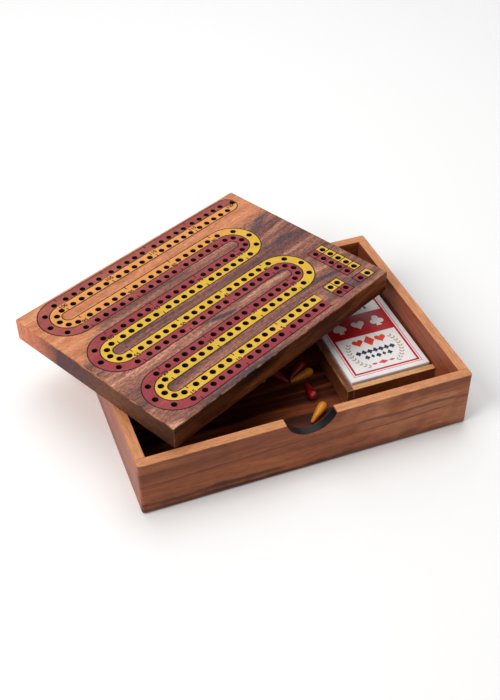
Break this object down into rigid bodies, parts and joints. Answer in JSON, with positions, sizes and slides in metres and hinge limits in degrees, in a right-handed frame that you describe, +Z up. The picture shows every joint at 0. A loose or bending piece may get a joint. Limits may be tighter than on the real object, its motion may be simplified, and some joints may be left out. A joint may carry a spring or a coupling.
{
  "type": "cribbage board",
  "caption": "Shallow open wooden box with a drilled cribbage board lying askew on it as its lift-off lid, and pegs and a boxed card deck inside.",
  "frame": {"origin": "middle of the box's underside, on the surface it stands on", "axes": "+Z up, +X to the right along the box's long side, +Y to the back, away from the finger notch in the front wall"},
  "size_m": [0.2969, 0.2607, 0.0663],
  "materials": {
    "box_wood": "satin",
    "panel_wood": "satin",
    "strip_wood": "satin",
    "board_wood": "satin",
    "carton_board": "gloss",
    "card_stock": "satin",
    "peg_red": "gloss",
    "peg_yellow": "gloss",
    "track_red": "satin",
    "track_yellow": "satin",
    "burnt_line": "matte",
    "notch_stain": "satin",
    "carton_print": "gloss"
  },
  "bodies": {
    "box": {"front_wall": "box_wood", "back_wall": "box_wood", "left_wall": "box_wood", "right_wall": "box_wood", "base_panel": "panel_wood", "well_left_strip": "strip_wood", "well_front_strip": "strip_wood", "well_back_strip": "strip_wood", "lid_rest_block": "strip_wood"},
    "lid": {"cribbage_board": "board_wood"},
    "card_pack": {"card_carton": "carton_board", "carton_flap": "carton_board", "card_deck": "card_stock"},
    "red_peg_1": {"red_peg_1": "peg_red"},
    "red_peg_2": {"red_peg_2": "peg_red"},
    "red_peg_3": {"red_peg_3": "peg_red"},
    "yellow_peg_1": {"yellow_peg_1": "peg_yellow"},
    "yellow_peg_2": {"yellow_peg_2": "peg_yellow"},
    "yellow_peg_3": {"yellow_peg_3": "peg_yellow"}
  },
  "joints": [
    {"name": "lid_lift", "type": "slide", "parent": "box", "child": "lid", "axis": [0, 0, 1], "range_m": [0, 0.08]},
    {"name": "card_pack_lift", "type": "slide", "parent": "box", "child": "card_pack", "axis": [0, 0, 1], "range_m": [0, 0.02]},
    {"name": "red_peg_1_draw_out", "type": "slide", "parent": "box", "child": "red_peg_1", "axis": [0.3413, -0.6812, 0.6477], "range_m": [0, 0.11]},
    {"name": "red_peg_2_draw_out", "type": "slide", "parent": "box", "child": "red_peg_2", "axis": [0.2604, -0.5196, 0.8137], "range_m": [0, 0.095]},
    {"name": "red_peg_3_draw_out", "type": "slide", "parent": "box", "child": "red_peg_3", "axis": [0.1608, -0.3209, 0.9333], "range_m": [0, 0.06]},
    {"name": "yellow_peg_1_draw_out", "type": "slide", "parent": "box", "child": "yellow_peg_1", "axis": [0.2004, -0.3998, 0.8944], "range_m": [0, 0.08]},
    {"name": "yellow_peg_2_draw_out", "type": "slide", "parent": "box", "child": "yellow_peg_2", "axis": [0.1417, -0.2827, 0.9487], "range_m": [0, 0.06]},
    {"name": "yellow_peg_3_draw_out", "type": "slide", "parent": "box", "child": "yellow_peg_3", "axis": [0.3705, -0.7393, 0.5623], "range_m": [0, 0.13]}
  ]
}
